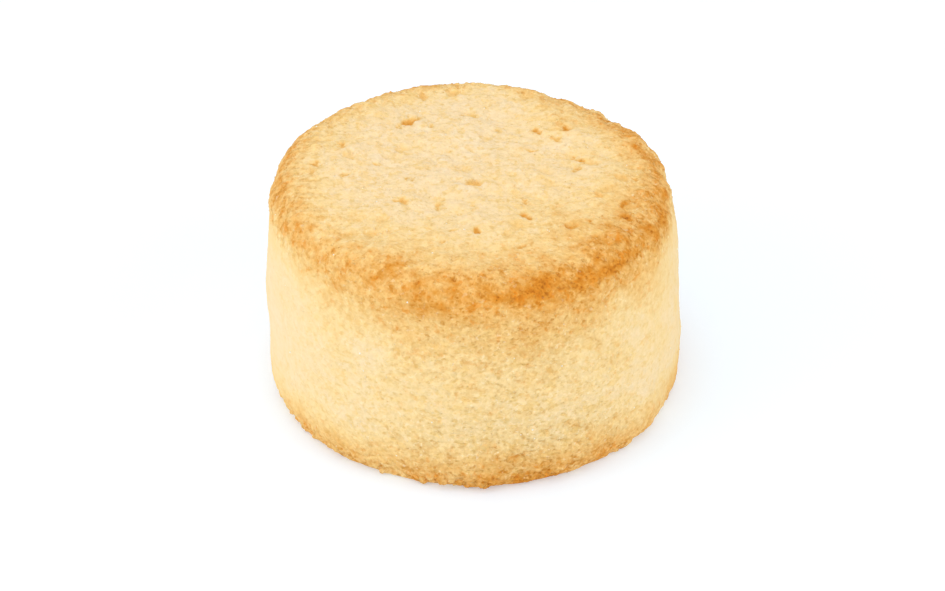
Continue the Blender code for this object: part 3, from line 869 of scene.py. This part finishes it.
crystal_density = above_tray * (hollow < 0.5) * (0.5 + coarse) * np.clip(1 - 0.6 * brown, 0.2, 1)
places, ways, _values = spread_over_skin(CRYSTALS, crystal_density, seed=101)
crystal_sizes = np.random.default_rng(102).uniform(*CRYSTAL_RADIUS, CRYSTALS)
block = bmesh.new()
bmesh.ops.create_cube(block, size=CRYSTAL_SIDE)
bmesh.ops.triangulate(block, faces=block.faces)
block_shape = (
    np.array([vert.co for vert in block.verts]),
    np.array([[vert.index for vert in face.verts] for face in block.faces]),
)
block.free()
places = places - CRYSTAL_SUNK * crystal_sizes[:, None] * ways
crystal_points, crystal_triangles = lumps(places, crystal_sizes, block_shape, raggedness=0.12, seed=103)
crystals = make_piece("sugar_crystals", crystal_points, crystal_triangles, {}, sugar, smooth=False)
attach(crystals, "root")
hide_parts("macaroon")

# === The table and the studio ===================================================================
# A plain white table under soft light from all round, and the camera at the photograph's angle.
# The table glows a little, as paper in a light tent does, so that it shows as white.
FLOOR_WHITE, FLOOR_GLOW = "#DBE4EE", (0.246, 0.268, 0.290, 1.0)
FLOOR_HALF = 2.0
SKY_OVERHEAD, SKY_AT_EDGE = 0.65, 0.96  # the light tent is brighter low down than overhead
DIMMER_TOWARDS = (0.08, 0.16)  # and dimmer towards the right (X) and the back (Y)
floor_mesh = bpy.data.meshes.new("floor")
floor_corners = [(x * FLOOR_HALF, y * FLOOR_HALF, 0) for x, y in ((-1, -1), (1, -1), (1, 1), (-1, 1))]
floor_mesh.from_pydata(floor_corners, [], [(0, 1, 2, 3)])
floor = bpy.data.objects.new("floor", floor_mesh)
bpy.context.scene.collection.objects.link(floor)
paper = bpy.data.materials.new("white_table")
paper.use_nodes = True
shader = paper.node_tree.nodes["Principled BSDF"]
shader.inputs["Base Color"].default_value = linear(FLOOR_WHITE)
shader.inputs["Roughness"].default_value = 0.9
shader.inputs["Emission Color"].default_value = FLOOR_GLOW
shader.inputs["Emission Strength"].default_value = 1.0
floor_mesh.materials.append(paper)

world = bpy.data.worlds.new("studio")
bpy.context.scene.world = world
world.use_nodes = True
tree = world.node_tree
sky_way = add_node(tree, "ShaderNodeTexCoord", {}, {}).outputs["Generated"]
sky_parts = add_node(tree, "ShaderNodeSeparateXYZ", {}, {"Vector": sky_way}).outputs
sky = add_node(
    tree, "ShaderNodeMapRange", {}, {"Value": sky_parts["Z"], "To Min": SKY_AT_EDGE, "To Max": SKY_OVERHEAD}
).outputs["Result"]
for axis, dimming in zip("XY", DIMMER_TOWARDS):
    terms = {0: sky_parts[axis], 1: -dimming, 2: sky}
    sky = add_node(tree, "ShaderNodeMath", {"operation": "MULTIPLY_ADD"}, terms).outputs[0]
tree.nodes["Background"].inputs["Color"].default_value = (1.0, 1.0, 1.0, 1.0)
tree.links.new(sky, tree.nodes["Background"].inputs["Strength"])

# Soft boxes: name, place, width and height, watts. Each faces the macaroon.
SOFT_BOXES = (
    ("top_light", (-0.12, 0.05, 0.84), 0.9, 0.9, 1.9),
    ("left_light", (-0.80, -0.35, 0.50), 0.6, 0.7, 1.65),
    ("right_light", (0.80, -0.35, 0.50), 0.6, 0.7, 1.75),
    ("front_light", (0.20, -0.92, 0.55), 0.8, 0.6, 0.3),
)
LIGHTS_AIM = (0, 0, 0.015)
for name, spot, width, tall, watts in SOFT_BOXES:
    lamp = bpy.data.lights.new(name, "AREA")
    lamp.shape = "RECTANGLE"
    lamp.size, lamp.size_y, lamp.energy = width, tall, watts
    box = bpy.data.objects.new(name, lamp)
    box.location = spot
    aim = np.array(LIGHTS_AIM) - spot
    pitch = math.atan2(math.hypot(aim[0], aim[1]), -aim[2])
    box.rotation_euler = (pitch, 0, math.atan2(-aim[0], aim[1]))
    bpy.context.scene.collection.objects.link(box)

# The camera stands straight in front, tilted down at its target.
CAMERA_AWAY, CAMERA_RISE = 0.324, math.radians(34.25)
CAMERA_TARGET = (-0.00040, 0.0, 0.01136)
SENSOR_WIDTH, FOCAL_LENGTH = 36.0, 89.74  # in millimetres
lens = bpy.data.cameras.new("camera")
lens.sensor_width, lens.lens = SENSOR_WIDTH, FOCAL_LENGTH
lens.clip_start, lens.clip_end = 0.01, 20
camera = bpy.data.objects.new("camera", lens)
camera.location = (
    CAMERA_TARGET[0],
    CAMERA_TARGET[1] - CAMERA_AWAY * math.cos(CAMERA_RISE),
    CAMERA_TARGET[2] + CAMERA_AWAY * math.sin(CAMERA_RISE),
)
camera.rotation_euler = (math.pi / 2 - CAMERA_RISE, 0, 0)
bpy.context.scene.collection.objects.link(camera)
bpy.context.scene.camera = camera
bpy.context.scene.view_settings.view_transform = "Standard"
